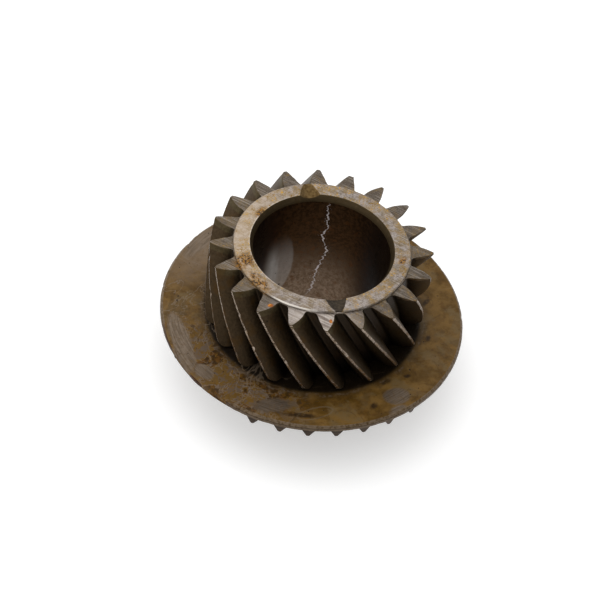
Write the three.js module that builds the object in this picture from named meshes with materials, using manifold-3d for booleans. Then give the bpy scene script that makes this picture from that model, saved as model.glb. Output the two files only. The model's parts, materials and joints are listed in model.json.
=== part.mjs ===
// Left-hand helical gear of a constant-mesh gearbox, with its clutch parts.
//
// The gear turns freely on a shaft, on a needle bearing that runs in its bore. A sliding sleeve
// locks it to the shaft through the dog teeth on its underside. From the top down:
//   helical_gear   hub with 20 helical teeth, a thrust ring above and a splined end below
//   stop_disc      thin disc that stops the sleeve, on the spline against the hub's shoulder
//   dog_ring       ring of pointed dog teeth, on the same spline
//   friction_cone  cone for the baulk ring, pressed on the dog ring's spigot
//   snap_ring      open ring in a groove of the spline, holds the stack together
//
// Millimetres, +Z up along the bore. The origin is on the bore's axis, at the lower thrust face.

import * as THREE from "three";
import { mergeVertices } from "three/addons/utils/BufferGeometryUtils.js";
import Module from "manifold-3d";

const wasm = await Module();
wasm.setup();

const DEG = Math.PI / 180;
const GAP = 0.3; // clearance between neighbouring pieces
const REACH = 2; // how far a cutting tool runs past what it cuts
const ROUND = 72; // sides of a full circle

// Gear teeth
const TEETH = 20;
const NORMAL_MODULE = 3.5;
const NORMAL_PRESSURE_ANGLE = 20 * DEG;
const HELIX_ANGLE = 31 * DEG; // left hand
const TIP_RADIUS = 45.5;
const ROOT_RADIUS = 36.4;
const FORM_RADIUS = 38; // the involute starts here, above the root fillet
const TIP_LAND = 1;
const ROOT_HALF_ANGLE = 0.12; // radians from a tooth's middle to the end of its fillet
const FILLET_MIDDLE = { radius: 36.9, halfAngle: 0.101 };
const FIRST_TOOTH = 98 * DEG; // a tooth's middle, at the teeth's upper ends
const FLANK_STEPS = 3;
const FACE_STEPS = 6;
const PITCH_RADIUS = (TEETH * NORMAL_MODULE) / Math.cos(HELIX_ANGLE) / 2;
const PRESSURE_ANGLE = Math.atan(Math.tan(NORMAL_PRESSURE_ANGLE) / Math.cos(HELIX_ANGLE));
const BASE_RADIUS = PITCH_RADIUS * Math.cos(PRESSURE_ANGLE);
const TWIST = Math.tan(HELIX_ANGLE) / PITCH_RADIUS; // radians for each millimetre of depth

// Heights above the lower thrust face
const HEIGHT = 64;
const TEETH_TOP = 62.95;
const TEETH_BOTTOM = 26.6;
const DISC_TOP = 25.7;
const DISC_BOTTOM = 23.2;
const DOG_TOP = DISC_BOTTOM - GAP;
const WEB_BOTTOM = 18.1;
const SPLINE_BOTTOM = 13;
const SPIGOT_BOTTOM = 14.5;
const CONE_TOP = 17.2;
const CONE_BOTTOM = 3.5;

// Hub
const RING_RADIUS = 36;
const RING_BEVEL = 0.4;
const BORE_RADIUS = 28;
const MOUTH_RADIUS = 29.4;
const MOUTH_DEPTH = 2.8;
const LOWER_CHAMFER = 1;
const LOWER_HUB_RADIUS = 32.6;
const SHOULDER = DISC_TOP + GAP;
const TOOTH_END_CHAMFER = 1.2; // turned on the tips, at the teeth's lower ends

// Oil notches across the thrust ring, one on each side of the bore
const NOTCH_ANGLE = 106.4 * DEG;
const NOTCH_TOOL_RADIUS = 7.4;
const NOTCH_DEPTH = 1.3; // at the bore's mouth
const NOTCH_EDGE_DEPTH = 0.06; // at the ring's outer edge
const NOTCH_LENGTH = 26;
const NOTCH_SIDES = 20;

// Spline that carries the disc and the dog ring
const SPLINES = 30;
const SPLINE_TIP = 34.4;
const SPLINE_ROOT = 32.9;
const SPLINE_TIP_SHARE = 0.2; // half widths of a spline tooth, as shares of the spline's pitch
const SPLINE_ROOT_SHARE = 0.32;

// Stop disc
const DISC_RADIUS = 63.25;
const RIM_BEVEL = 0.9;

// Dog ring: 33 places in three groups, each with three places left empty
const DOG_PLACES = 33;
const DOG_GROUPS = 3;
const DOGS_IN_GROUP = 8;
const DOG_PITCH = (2 * Math.PI) / DOG_PLACES;
const FIRST_DOG = 253.5 * DEG;
const DOG_RADIUS = 60.8;
const DOG_ROOT_RADIUS = 57.4;
const DOG_WIDTH = 5.3;
const DOG_TIP_WIDTH = 1.2;
const DOG_SHOULDER = 20.2; // where the roof-shaped end starts
const DOG_TIP = 17;
const DOG_BODY_BOTTOM = 17.5;
const SPIGOT_RADIUS = 42.5;
const SPIGOT_INNER_RADIUS = 38.5;

// Friction cone
const CONE_ANGLE = 6.5 * DEG;
const CONE_RADIUS = 46;
const CONE_INNER_RADIUS = 40.5;

// Snap ring
const GROOVE_RADIUS = 32.2;
const SNAP_THICKNESS = 2;
const SNAP_INNER = GROOVE_RADIUS + GAP;
const SNAP_OUTER = 37.5;
const SNAP_TOP = WEB_BOTTOM - GAP;
const SNAP_BOTTOM = SNAP_TOP - SNAP_THICKNESS;
const SNAP_OPENING = 26 * DEG;

// Closed mesh to manifold-3d solid and back

function toSolid(geometry) {
  const bare = geometry.clone();
  for (const name of ["normal", "uv"]) bare.deleteAttribute(name);
  const merged = mergeVertices(bare, 1e-4);
  return new wasm.Manifold(
    new wasm.Mesh({
      numProp: 3,
      vertProperties: merged.attributes.position.array,
      triVerts: new Uint32Array(merged.index.array),
    }),
  );
}

function toMesh(name, solid, material) {
  const { vertProperties, triVerts } = solid.getMesh();
  const geometry = new THREE.BufferGeometry();
  geometry.setAttribute("position", new THREE.BufferAttribute(vertProperties, 3));
  geometry.setIndex(new THREE.BufferAttribute(triVerts, 1));
  geometry.computeVertexNormals();
  const mesh = new THREE.Mesh(geometry, material);
  mesh.name = name;
  return mesh;
}

// Shapes

// Solid of revolution about Z. The outline is a list of [radius, height], closed on itself and
// counter-clockwise with the radius to the right.
function turned(outline, sides = ROUND) {
  const points = [...outline, outline[0]].map(([r, z]) => new THREE.Vector2(r, z));
  return toSolid(new THREE.LatheGeometry(points, sides).rotateX(Math.PI / 2));
}

function tube(inner, outer, bottom, top, sides = ROUND) {
  return turned([[inner, bottom], [outer, bottom], [outer, top], [inner, top]], sides);
}

// Prism between two heights, from an outline of [radius, angle] pairs.
function prism(polar, bottom, top, steps = 1) {
  const points = polar.map(([r, a]) => new THREE.Vector2(r * Math.cos(a), r * Math.sin(a)));
  const options = { depth: top - bottom, steps, bevelEnabled: false };
  return new THREE.ExtrudeGeometry(new THREE.Shape(points), options).translate(0, 0, bottom);
}

function involute(angle) {
  return Math.tan(angle) - angle;
}

// Half the angle that a tooth takes up at a radius on its involute flank.
function toothHalfAngle(radius) {
  const atTip = involute(Math.acos(BASE_RADIUS / TIP_RADIUS));
  return TIP_LAND / 2 / TIP_RADIUS + atTip - involute(Math.acos(BASE_RADIUS / radius));
}

// One flank from the root up to the tip: [radius, half angle] pairs.
function flank() {
  const points = [
    [ROOT_RADIUS, ROOT_HALF_ANGLE],
    [FILLET_MIDDLE.radius, FILLET_MIDDLE.halfAngle],
  ];
  for (let i = 0; i <= FLANK_STEPS; i++) {
    const radius = FORM_RADIUS + ((TIP_RADIUS - FORM_RADIUS) * i) / FLANK_STEPS;
    points.push([radius, toothHalfAngle(radius)]);
  }
  return points;
}

function gearOutline() {
  const side = flank();
  const outline = [];
  for (let i = 0; i < TEETH; i++) {
    const middle = FIRST_TOOTH + (2 * Math.PI * i) / TEETH;
    for (const [r, a] of side) outline.push([r, middle - a]);
    for (const [r, a] of [...side].reverse()) outline.push([r, middle + a]);
  }
  return outline;
}

function splineOutline(clearance) {
  const outline = [];
  const pitch = (2 * Math.PI) / SPLINES;
  const root = SPLINE_ROOT + clearance;
  const tip = SPLINE_TIP + clearance;
  for (let i = 0; i < SPLINES; i++) {
    outline.push([root, (i - SPLINE_ROOT_SHARE) * pitch], [tip, (i - SPLINE_TIP_SHARE) * pitch]);
    outline.push([tip, (i + SPLINE_TIP_SHARE) * pitch], [root, (i + SPLINE_ROOT_SHARE) * pitch]);
  }
  return outline;
}

// Turns each point about Z by an angle that grows with its depth below the teeth's upper ends,
// which makes a left-hand helix.
function twisted(geometry) {
  const position = geometry.attributes.position;
  const point = new THREE.Vector3();
  const up = new THREE.Vector3(0, 0, 1);
  for (let i = 0; i < position.count; i++) {
    point.fromBufferAttribute(position, i);
    point.applyAxisAngle(up, (TEETH_TOP - point.z) * TWIST);
    position.setXYZ(i, point.x, point.y, point.z);
  }
  return geometry;
}

// Pieces

function toothRing() {
  const teeth = toSolid(twisted(prism(gearOutline(), TEETH_BOTTOM, TEETH_TOP, FACE_STEPS)));
  const blank = turned([
    [BORE_RADIUS + REACH, TEETH_BOTTOM - REACH],
    [TIP_RADIUS - TOOTH_END_CHAMFER - REACH, TEETH_BOTTOM - REACH],
    [TIP_RADIUS + REACH, TEETH_BOTTOM + TOOTH_END_CHAMFER + REACH],
    [TIP_RADIUS + REACH, TEETH_TOP + REACH],
    [BORE_RADIUS + REACH, TEETH_TOP + REACH],
  ]);
  return teeth.intersect(blank);
}

function hubBlank() {
  return turned([
    [BORE_RADIUS - REACH, 0],
    [LOWER_HUB_RADIUS - LOWER_CHAMFER, 0],
    [LOWER_HUB_RADIUS, LOWER_CHAMFER],
    [LOWER_HUB_RADIUS, SHOULDER],
    [RING_RADIUS, SHOULDER],
    [RING_RADIUS, HEIGHT - RING_BEVEL],
    [RING_RADIUS - RING_BEVEL, HEIGHT],
    [BORE_RADIUS - REACH, HEIGHT],
  ]);
}

function boreTool() {
  return turned([
    [0, -REACH],
    [BORE_RADIUS + LOWER_CHAMFER + REACH, -REACH],
    [BORE_RADIUS, LOWER_CHAMFER],
    [BORE_RADIUS, HEIGHT - MOUTH_DEPTH],
    [MOUTH_RADIUS, HEIGHT],
    [MOUTH_RADIUS, HEIGHT + REACH],
    [0, HEIGHT + REACH],
  ]);
}

// Round-bottomed tool, low at the bore and nearly level with the thrust ring's face at its edge.
function notchTool(angle) {
  const fall = NOTCH_DEPTH - NOTCH_EDGE_DEPTH;
  const slope = Math.atan(fall / (RING_RADIUS - MOUTH_RADIUS));
  const tool = new THREE.CylinderGeometry(
    NOTCH_TOOL_RADIUS,
    NOTCH_TOOL_RADIUS,
    NOTCH_LENGTH,
    NOTCH_SIDES,
  );
  tool.rotateZ(-Math.PI / 2).translate(0, 0, NOTCH_TOOL_RADIUS / Math.cos(slope));
  tool.rotateY(-slope).translate(RING_RADIUS, 0, HEIGHT - NOTCH_EDGE_DEPTH).rotateZ(angle);
  return toSolid(tool);
}

function helicalGear() {
  const spline = toSolid(prism(splineOutline(0), SPLINE_BOTTOM, SHOULDER + GAP));
  const groove = tube(GROOVE_RADIUS, RING_RADIUS, SNAP_BOTTOM - GAP, WEB_BOTTOM);
  return hubBlank()
    .add(toothRing())
    .add(spline)
    .subtract(groove)
    .subtract(boreTool())
    .subtract(notchTool(NOTCH_ANGLE))
    .subtract(notchTool(NOTCH_ANGLE + Math.PI));
}

function splineTool() {
  return toSolid(prism(splineOutline(GAP), -REACH, DISC_TOP + REACH));
}

function stopDisc() {
  const inner = SPLINE_ROOT - REACH;
  return turned([
    [inner, DISC_BOTTOM],
    [DISC_RADIUS, DISC_BOTTOM],
    [DISC_RADIUS, DISC_TOP - RIM_BEVEL],
    [DISC_RADIUS - RIM_BEVEL, DISC_TOP],
    [inner, DISC_TOP],
  ], 2 * ROUND).subtract(splineTool());
}

// House-shaped tooth that points down, standing out along +X before it is turned to its place.
function dogTooth(angle) {
  const wide = DOG_WIDTH / 2;
  const narrow = DOG_TIP_WIDTH / 2;
  const house = new THREE.Shape([
    new THREE.Vector2(-wide, DOG_TOP),
    new THREE.Vector2(-wide, DOG_SHOULDER),
    new THREE.Vector2(-narrow, DOG_TIP),
    new THREE.Vector2(narrow, DOG_TIP),
    new THREE.Vector2(wide, DOG_SHOULDER),
    new THREE.Vector2(wide, DOG_TOP),
  ]);
  const depth = DOG_RADIUS + REACH - DOG_ROOT_RADIUS + REACH;
  const tooth = new THREE.ExtrudeGeometry(house, { depth, bevelEnabled: false });
  tooth.rotateX(Math.PI / 2).rotateZ(Math.PI / 2);
  return toSolid(tooth.translate(DOG_ROOT_RADIUS - REACH, 0, 0).rotateZ(angle));
}

function dogRing() {
  let ring = turned([
    [SPLINE_ROOT - REACH, WEB_BOTTOM],
    [SPIGOT_INNER_RADIUS, WEB_BOTTOM],
    [SPIGOT_INNER_RADIUS, SPIGOT_BOTTOM],
    [SPIGOT_RADIUS, SPIGOT_BOTTOM],
    [SPIGOT_RADIUS, DOG_BODY_BOTTOM],
    [DOG_ROOT_RADIUS, DOG_BODY_BOTTOM],
    [DOG_ROOT_RADIUS, DOG_TOP],
    [SPLINE_ROOT - REACH, DOG_TOP],
  ]).subtract(splineTool());
  const limit = tube(SPLINE_ROOT - REACH, DOG_RADIUS, 0, DISC_TOP, 2 * ROUND);
  const placesInGroup = DOG_PLACES / DOG_GROUPS;
  for (let group = 0; group < DOG_GROUPS; group++)
    for (let i = 0; i < DOGS_IN_GROUP; i++) {
      const angle = FIRST_DOG + (group * placesInGroup + i) * DOG_PITCH;
      ring = ring.add(dogTooth(angle).intersect(limit));
    }
  return ring;
}

function frictionCone() {
  const end = CONE_RADIUS - (CONE_TOP - CONE_BOTTOM) * Math.tan(CONE_ANGLE);
  return turned([
    [CONE_INNER_RADIUS, CONE_BOTTOM],
    [end, CONE_BOTTOM],
    [CONE_RADIUS, CONE_TOP],
    [SPIGOT_RADIUS + GAP, CONE_TOP],
    [SPIGOT_RADIUS + GAP, SPIGOT_BOTTOM - GAP],
    [CONE_INNER_RADIUS, SPIGOT_BOTTOM - GAP],
  ]);
}

function snapRing() {
  const opening = prism(
    [[0, 0], [SNAP_OUTER + REACH, -SNAP_OPENING / 2], [SNAP_OUTER + REACH, SNAP_OPENING / 2]],
    SNAP_BOTTOM - REACH,
    SNAP_TOP + REACH,
  );
  return tube(SNAP_INNER, SNAP_OUTER, SNAP_BOTTOM, SNAP_TOP).subtract(toSolid(opening));
}

// Materials

function steel(color, roughness, metalness) {
  return new THREE.MeshStandardMaterial({ color, roughness, metalness });
}

const gearSteel = steel(0x6f6556, 0.45, 0.85);
const varnishedSteel = steel(0x6b5231, 0.5, 0.55);
const dogSteel = steel(0x5a5046, 0.5, 0.8);
const coneSteel = steel(0x7c7872, 0.35, 0.9);
const springSteel = steel(0x3b3a3c, 0.4, 0.9);

const gear = new THREE.Group();
gear.add(
  toMesh("helical_gear", helicalGear(), gearSteel),
  toMesh("stop_disc", stopDisc(), varnishedSteel),
  toMesh("dog_ring", dogRing(), dogSteel),
  toMesh("friction_cone", frictionCone(), coneSteel),
  toMesh("snap_ring", snapRing(), springSteel),
);

export default gear;
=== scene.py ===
"""Looks of the helical gear and its clutch parts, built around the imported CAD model.

Lengths are in millimetres until a mesh is made, and every object is in the CAD frame:
+Z up along the bore, origin at the lower thrust face.
"""

import json
import math
from functools import cached_property

import bpy
import numpy as np
from mathutils import Matrix, Vector

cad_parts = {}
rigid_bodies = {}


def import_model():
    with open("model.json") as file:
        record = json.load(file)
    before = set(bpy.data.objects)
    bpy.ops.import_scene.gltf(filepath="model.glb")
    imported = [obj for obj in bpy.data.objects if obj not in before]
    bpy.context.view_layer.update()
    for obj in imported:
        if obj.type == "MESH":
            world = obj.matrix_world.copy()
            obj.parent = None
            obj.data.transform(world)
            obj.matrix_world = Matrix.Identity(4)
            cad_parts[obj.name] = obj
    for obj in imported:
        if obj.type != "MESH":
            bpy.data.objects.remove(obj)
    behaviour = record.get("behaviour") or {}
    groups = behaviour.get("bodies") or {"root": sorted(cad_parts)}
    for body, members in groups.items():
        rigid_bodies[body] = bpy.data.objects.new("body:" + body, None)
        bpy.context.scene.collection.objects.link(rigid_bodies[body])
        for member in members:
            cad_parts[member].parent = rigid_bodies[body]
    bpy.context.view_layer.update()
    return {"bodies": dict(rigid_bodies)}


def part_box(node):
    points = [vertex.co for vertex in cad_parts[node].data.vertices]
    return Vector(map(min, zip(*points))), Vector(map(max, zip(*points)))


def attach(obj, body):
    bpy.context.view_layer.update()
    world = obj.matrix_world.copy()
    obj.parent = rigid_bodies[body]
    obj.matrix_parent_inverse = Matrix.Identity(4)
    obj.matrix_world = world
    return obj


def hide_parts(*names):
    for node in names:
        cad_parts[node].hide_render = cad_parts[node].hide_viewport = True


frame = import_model()

MM = 0.001
RNG = np.random.default_rng(20)


def cad(node):
    """Lowest and highest corner of a CAD node, in millimetres."""
    low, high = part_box(node)
    return low / MM, high / MM


# ---------------------------------------------------------------- sizes

GEAR_HIGH = cad("helical_gear")[1]
DISC_LOW, DISC_HIGH = cad("stop_disc")
DOG_LOW, DOG_HIGH = cad("dog_ring")
CONE_LOW, CONE_HIGH = cad("friction_cone")
SNAP_LOW, SNAP_HIGH = cad("snap_ring")

TEETH = 20
HELIX_ANGLE = math.radians(31)
NORMAL_MODULE = 3.5
NORMAL_PRESSURE_ANGLE = math.radians(20)
PITCH_RADIUS = TEETH * NORMAL_MODULE / math.cos(HELIX_ANGLE) / 2
PRESSURE_ANGLE = math.atan(math.tan(NORMAL_PRESSURE_ANGLE) / math.cos(HELIX_ANGLE))
BASE_RADIUS = PITCH_RADIUS * math.cos(PRESSURE_ANGLE)
TWIST = math.tan(HELIX_ANGLE) / PITCH_RADIUS
TIP_RADIUS = 45.5
ROOT_RADIUS = 36.4
FORM_RADIUS = 38.0
ROOT_HALF_ANGLE = 0.12
TIP_LAND = 1.0
FIRST_TOOTH = math.radians(98)

TOP = GEAR_HIGH.z
TEETH_TOP = TOP - 1.05
DISC_TOP = DISC_HIGH.z
TEETH_BOTTOM = DISC_TOP + 0.9
SHOULDER = DISC_TOP + 0.3
RING_RADIUS = 36.0
RING_BEVEL = 0.4
BORE_RADIUS = 28.0
MOUTH_RADIUS = 29.4
MOUTH_DEPTH = 2.8
LOWER_HUB_RADIUS = 32.6
END_CHAMFER = 1.0
NOTCH_ANGLE = math.radians(106.4)
NOTCH_TOOL_RADIUS = 7.4
NOTCH_DEPTH = 1.3
NOTCH_EDGE_DEPTH = 0.06
NOTCH_SLOPE = (NOTCH_DEPTH - NOTCH_EDGE_DEPTH) / (RING_RADIUS - MOUTH_RADIUS)

SPLINES = 30
SPLINE_TIP = 34.4
SPLINE_ROOT = 32.9
SPLINE_BOTTOM = 13.0
SPLINE_TOOL_RADIUS = 25.0  # inside of the tool that cuts a splined hole
SPLINE_CORE_RADIUS = 26.0  # core that fills that tool
SPLINE_BLANK_RADIUS = 31.0  # inside of the disc and the dog ring before that cut
GROOVE_RADIUS = 32.2
GAP = 0.3

DISC_RADIUS = DISC_HIGH.x
DISC_BOTTOM = DISC_LOW.z
RIM_BEVEL = 0.9
RIM_DENTS = 60
FLAT_PLACES = (math.radians(218), math.radians(238))
FLAT_HALF_ANGLE = math.radians(9)

DOG_PLACES = 33
DOG_GROUPS = 3
DOGS_IN_GROUP = 8
FIRST_DOG = math.radians(253.5)
DOG_RADIUS = 60.8
DOG_ROOT_RADIUS = 57.4
DOG_WIDTH = 5.3
DOG_TIP_WIDTH = 1.2
DOG_ROOF = 3.2
DOG_LOW_TIP = 17.0
WEB_THICKNESS = 4.8
SPIGOT_RADIUS = 42.5
SPIGOT_INNER_RADIUS = 38.5

SNAP_INNER = 32.5
SNAP_OUTER = SNAP_HIGH.y
SNAP_OPENING = math.radians(26)

CONE_RADIUS = CONE_HIGH.x
CONE_INNER_RADIUS = 40.5
CONE_ANGLE = math.radians(6.5)


# ---------------------------------------------------------------- meshes


def object_from(name, vertices, faces):
    """Object with a mesh given in millimetres, turned so that its faces point out."""
    mesh = bpy.data.meshes.new(name)
    mesh.from_pydata([tuple(v) for v in np.asarray(vertices) * MM], [], [tuple(f) for f in faces])
    mesh.validate()
    if signed_volume(mesh) < 0:
        mesh.flip_normals()
    obj = bpy.data.objects.new(name, mesh)
    bpy.context.scene.collection.objects.link(obj)
    return obj


def signed_volume(mesh):
    mesh.calc_loop_triangles()
    points = np.zeros(len(mesh.vertices) * 3)
    mesh.vertices.foreach_get("co", points)
    corners = np.zeros(len(mesh.loop_triangles) * 3, np.int32)
    mesh.loop_triangles.foreach_get("vertices", corners)
    a, b, c = points.reshape(-1, 3)[corners.reshape(-1, 3)].transpose(1, 0, 2)
    return float(np.einsum("ij,ij->", a, np.cross(b, c))) / 6


def polar_row(radius, angle, height):
    """Points of one row from radii, angles and heights, each a number or an array."""
    radius, angle, height = np.broadcast_arrays(radius, angle, height)
    return np.stack([radius * np.cos(angle), radius * np.sin(angle), height], -1)


def loft(name, rows):
    """Closed skin through rows of equally many points. Rows and points both close on themselves."""
    count = len(rows[0])
    row, column = np.meshgrid(np.arange(len(rows)), np.arange(count), indexing="ij")
    next_row = (row + 1) % len(rows)
    next_column = (column + 1) % count
    corners = [
        row * count + column,
        row * count + next_column,
        next_row * count + next_column,
        next_row * count + column,
    ]
    return object_from(name, np.concatenate(rows), np.stack(corners, -1).reshape(-1, 4))


def turned(name, outline, columns=192):
    """Solid of revolution from a closed outline of (radius, height)."""
    angles = np.arange(columns) * 2 * math.pi / columns
    return loft(name, [polar_row(r, angles, z) for r, z in outline])


def boolean(obj, tool, operation):
    """Joins tool to obj or cuts it away, and removes tool."""
    modifier = obj.modifiers.new(operation.lower(), "BOOLEAN")
    modifier.operation = operation
    modifier.solver = "MANIFOLD"
    modifier.object = tool
    bpy.context.view_layer.update()
    evaluated = obj.evaluated_get(bpy.context.evaluated_depsgraph_get())
    result = bpy.data.meshes.new_from_object(evaluated)
    obj.modifiers.clear()
    obj.data = result
    bpy.data.objects.remove(tool)
    return obj


def smooth(obj, degrees=32):
    obj.data.shade_smooth()
    obj.data.set_sharp_from_angle(angle=math.radians(degrees))
    modifier = obj.modifiers.new("flat_faces", "WEIGHTED_NORMAL")
    modifier.keep_sharp = True
    modifier.weight = 100


def face_arrays(mesh):
    """Centres in millimetres and normals of a mesh's faces."""
    centres = np.zeros(len(mesh.polygons) * 3)
    normals = np.zeros(len(mesh.polygons) * 3)
    mesh.polygons.foreach_get("center", centres)
    mesh.polygons.foreach_get("normal", normals)
    return centres.reshape(-1, 3) / MM, normals.reshape(-1, 3)


# ---------------------------------------------------------------- helical gear

SPACE_STEPS = 3
FILLET_STEPS = 4
FLANK_STEPS = 10
CORNER = 0.12


def involute(angle):
    return np.tan(angle) - angle


def half_angle(radius):
    """Half the angle that a tooth takes up at a radius on its involute flank."""
    at_tip = involute(math.acos(BASE_RADIUS / TIP_RADIUS))
    return TIP_LAND / 2 / TIP_RADIUS + at_tip - involute(np.arccos(BASE_RADIUS / radius))


def half_tooth(tip_radius):
    """Radii and half angles from the middle of a tooth space up to the tip's corner."""
    form = half_angle(FORM_RADIUS)
    space = np.linspace(math.pi / TEETH, ROOT_HALF_ANGLE, SPACE_STEPS, endpoint=False)
    t = np.linspace(0, 1, FILLET_STEPS, endpoint=False)
    corners = ((ROOT_RADIUS, ROOT_HALF_ANGLE), (ROOT_RADIUS + 0.1, form + 0.004), (FORM_RADIUS, form))
    fillet = [
        (1 - t) ** 2 * a + 2 * t * (1 - t) * b + t**2 * c for a, b, c in zip(*corners)
    ]
    flank = np.linspace(FORM_RADIUS, tip_radius - CORNER, FLANK_STEPS)
    last = half_angle(flank[-1])
    radii = [np.full(SPACE_STEPS, ROOT_RADIUS), fillet[0], flank, [tip_radius - CORNER / 4, tip_radius]]
    corner = CORNER / tip_radius
    angles = [space, fillet[1], half_angle(flank), [last - corner / 4, last - corner]]
    return np.concatenate(radii), np.concatenate(angles)


def tooth_outline(tip_radii):
    """Radii and angles of the whole gear's outline, for one tip radius for each tooth."""
    radii, angles = [], []
    for i, tip_radius in enumerate(tip_radii):
        middle = FIRST_TOOTH + i * 2 * math.pi / TEETH
        r, a = half_tooth(tip_radius)
        radii += [r, [tip_radius], r[:0:-1]]
        angles += [middle - a, [middle], middle + a[:0:-1]]
    return np.concatenate(radii), np.concatenate(angles)


def inset(radii, angles, distance):
    """The outline moved inwards, square to itself, by a distance at each point."""
    flat = np.stack([radii * np.cos(angles), radii * np.sin(angles)], -1)
    along = np.roll(flat, -1, 0) - np.roll(flat, 1, 0)
    along /= np.linalg.norm(along, axis=1)[:, None]
    moved = flat + np.stack([-along[:, 1], along[:, 0]], -1) * distance[:, None]
    return np.hypot(moved[:, 0], moved[:, 1]), angles + wrap(np.arctan2(moved[:, 1], moved[:, 0]) - angles)


def wrap(angle):
    return (angle + math.pi) % (2 * math.pi) - math.pi


WIDE_BEVEL = 0.7  # on the acute edge of each upper end face
FINE_BEVEL = 0.18
TONGUE_LENGTH = 2.4  # of the rounding at the teeth's lower ends
TONGUE_DROP = 2.0
ROW_SPACING = 0.6
NICKS = 46


def end_bevel(radii, angles):
    """Width of the bevel round the upper end faces: wide on the flank with the lesser angle."""
    middles = FIRST_TOOTH + np.repeat(np.arange(TEETH), len(radii) // TEETH) * 2 * math.pi / TEETH
    acute = wrap(angles - middles) < 0
    near_tip = np.clip((TIP_RADIUS + 0.1 - radii) / 3.2, 0.3, 1)
    near_root = 0.2 + 0.8 * np.clip((radii - ROOT_RADIUS - 0.2) / 2, 0, 1)
    return np.where(acute, WIDE_BEVEL * np.minimum(near_tip, near_root), FINE_BEVEL)


def worn_tips():
    """Function of a row's height that gives each tooth's tip radius, with wear and nicks."""
    phases = RNG.uniform(0, 2 * math.pi, (3, TEETH))
    nicks = [
        (
            RNG.integers(TEETH),
            RNG.uniform(TEETH_BOTTOM + 3, TEETH_TOP),
            RNG.uniform(0.5, 1.3),
            RNG.uniform(0.1, 0.35),
        )
        for _ in range(NICKS)
    ]
    # two chipped corners at the far side's upper ends
    nicks += [(2, TEETH_TOP - 1.0, 0.8, 0.5), (19, TEETH_TOP - 0.6, 1.6, 1.1)]

    def at(height):
        wave = sum(np.sin(height * f + p) for f, p in zip((0.35, 0.9, 2.1), phases))
        radii = TIP_RADIUS - 0.03 - 0.02 * (wave + 3) / 2
        for tooth, place, length, depth in nicks:
            radii[tooth] -= depth * math.exp(-(((height - place) / length) ** 2) * 2)
        near_end = np.clip((height - TEETH_BOTTOM) / TONGUE_LENGTH, 0, 1)
        return radii - TONGUE_DROP * (1 - math.sqrt(1 - (1 - near_end) ** 2))

    return at


def gear_skin():
    tips = worn_tips()
    top_radii, top_angles = tooth_outline(tips(TEETH_TOP))
    bevel = end_bevel(top_radii, top_angles)
    rows = []

    # flanks, from the top down
    steps = int((TEETH_TOP - TEETH_BOTTOM - TONGUE_LENGTH) / ROW_SPACING)
    shares = list(np.linspace(0, 1, steps, endpoint=False))
    long_part = TEETH_TOP - TEETH_BOTTOM - TONGUE_LENGTH
    for share in shares:
        height = TEETH_TOP - share * long_part
        radii, angles = tooth_outline(tips(height))
        heights = height - 1.25 * bevel * (1 - share)
        rows.append(polar_row(radii, angles + (TEETH_TOP - heights) * TWIST, heights))
    for share in (1, 0.72, 0.5, 0.32, 0.18, 0.08, 0.02):
        height = TEETH_BOTTOM + share * TONGUE_LENGTH
        radii, angles = tooth_outline(tips(height))
        rows.append(polar_row(radii, angles + (TEETH_TOP - height) * TWIST, height))
    full_twist = (TEETH_TOP - TEETH_BOTTOM) * TWIST
    radii, angles = tooth_outline(tips(TEETH_BOTTOM))
    radii, angles = inset(radii, angles, np.full(len(radii), FINE_BEVEL))
    rows.append(polar_row(radii, angles + full_twist, TEETH_BOTTOM))

    # hub's neck, lower end and bore
    low = angles + full_twist
    high = inset(top_radii, top_angles, bevel)[1]
    rows.append(polar_row(RING_RADIUS, low, TEETH_BOTTOM))
    rows.append(polar_row(RING_RADIUS, low, SHOULDER))
    for r, z in (
        (LOWER_HUB_RADIUS, SHOULDER),
        (LOWER_HUB_RADIUS, END_CHAMFER),
        (LOWER_HUB_RADIUS - END_CHAMFER, 0),
        (BORE_RADIUS + END_CHAMFER, 0),
    ):
        rows.append(polar_row(r, low, z))
    bore_bottom, bore_top = END_CHAMFER, TOP - MOUTH_DEPTH
    for share in np.linspace(0, 1, 60):
        height = bore_bottom + share * (bore_top - bore_bottom)
        rows.append(polar_row(BORE_RADIUS, low + (high - low) * share, height))

    # thrust ring
    for r, z in (
        (MOUTH_RADIUS - 0.06, TOP - 0.12),
        (MOUTH_RADIUS + 0.02, TOP - 0.04),
        (MOUTH_RADIUS + 0.14, TOP),
        (RING_RADIUS - RING_BEVEL - 0.1, TOP),
        (RING_RADIUS - RING_BEVEL + 0.05, TOP - 0.07),
        (RING_RADIUS - 0.07, TOP - RING_BEVEL + 0.03),
        (RING_RADIUS, TOP - RING_BEVEL - 0.1),
        (RING_RADIUS, TEETH_TOP + 0.15),
        (RING_RADIUS + 0.05, TEETH_TOP),
    ):
        rows.append(polar_row(r, high, z))
    radii, angles = inset(top_radii, top_angles, bevel)
    rows.append(polar_row(radii, angles, TEETH_TOP))
    return loft("helical_gear_visual", rows)


def spline_prism(name, clearance, bottom, top, inner_radius):
    """Ring with the spline's teeth outside, as a shaft's end or as the tool that cuts a splined hole."""
    shape = ((-0.32, SPLINE_ROOT), (-0.2, SPLINE_TIP), (0.2, SPLINE_TIP), (0.32, SPLINE_ROOT))
    pitch = 2 * math.pi / SPLINES
    angles = np.array([(i + a) * pitch for i in range(SPLINES) for a, _ in shape])
    radii = np.array([r + clearance for _ in range(SPLINES) for _, r in shape])
    inner = np.full(len(angles), inner_radius)
    ends = ((inner, bottom), (radii - 0.3, bottom), (radii, bottom + 0.3), (radii, top), (inner, top))
    return loft(name, [polar_row(r, angles, z) for r, z in ends])


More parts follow.
